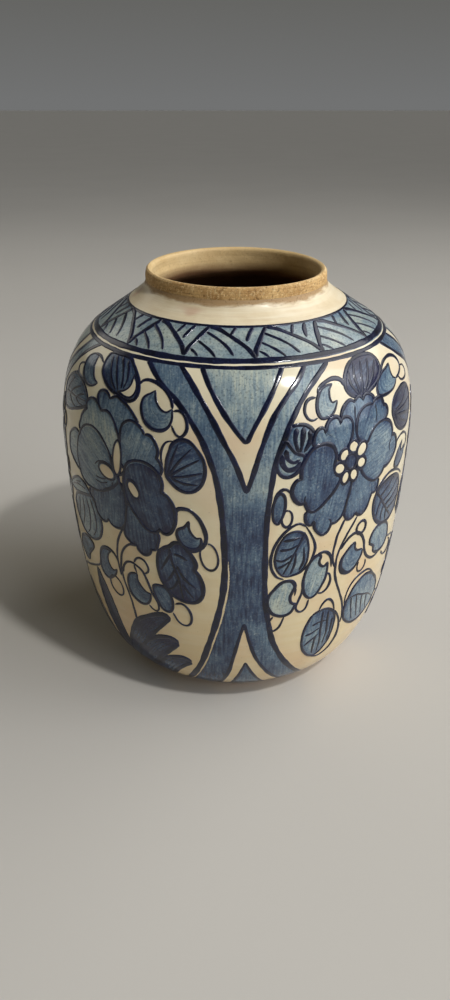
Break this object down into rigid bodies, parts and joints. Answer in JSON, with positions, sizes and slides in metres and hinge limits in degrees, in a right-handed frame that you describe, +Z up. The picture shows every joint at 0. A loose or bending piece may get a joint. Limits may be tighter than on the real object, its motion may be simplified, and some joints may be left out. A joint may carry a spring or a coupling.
{
  "type": "talavera pottery vase",
  "caption": "Ginger-jar shaped tin-glazed earthenware vase with a low collar, bare rim and cobalt painted panels, for flowers or display.",
  "frame": {"origin": "centre of the foot ring's bearing face, on the table", "axes": "+Z up along the wheel axis; -Y towards the viewer of the painted front, +X to that viewer's right"},
  "size_m": [0.2008, 0.2008, 0.235],
  "materials": {
    "bare_clay": "matte fired clay, turned and rubbed",
    "clay_body": "matte fired clay",
    "neck_clay": "matte fired clay, wiped",
    "rim_clay": "matte ochre brown, speckled and worn",
    "inner_glaze": "thin satin glaze",
    "cream_glaze": "gloss cream tin glaze, faintly mottled",
    "blue_wash": "gloss grey blue wash over tin glaze",
    "pale_glaze": "thin pale glaze, satin",
    "cobalt": "raised gloss cobalt, near black where thick"
  },
  "bodies": {
    "root": {"foot_ring": "bare_clay", "base_slab": "bare_clay", "heel": "clay_body", "lower_wall": "clay_body", "upper_wall": "clay_body", "shoulder_turn": "clay_body", "shoulder": "clay_body", "neck_collar": "neck_clay", "rim_lip": "rim_clay", "inner_glaze": "inner_glaze", "body_glaze": "cream_glaze", "shoulder_glaze": "blue_wash", "collar_glaze": "pale_glaze", "ring_lines": "cobalt"}
  },
  "joints": []
}
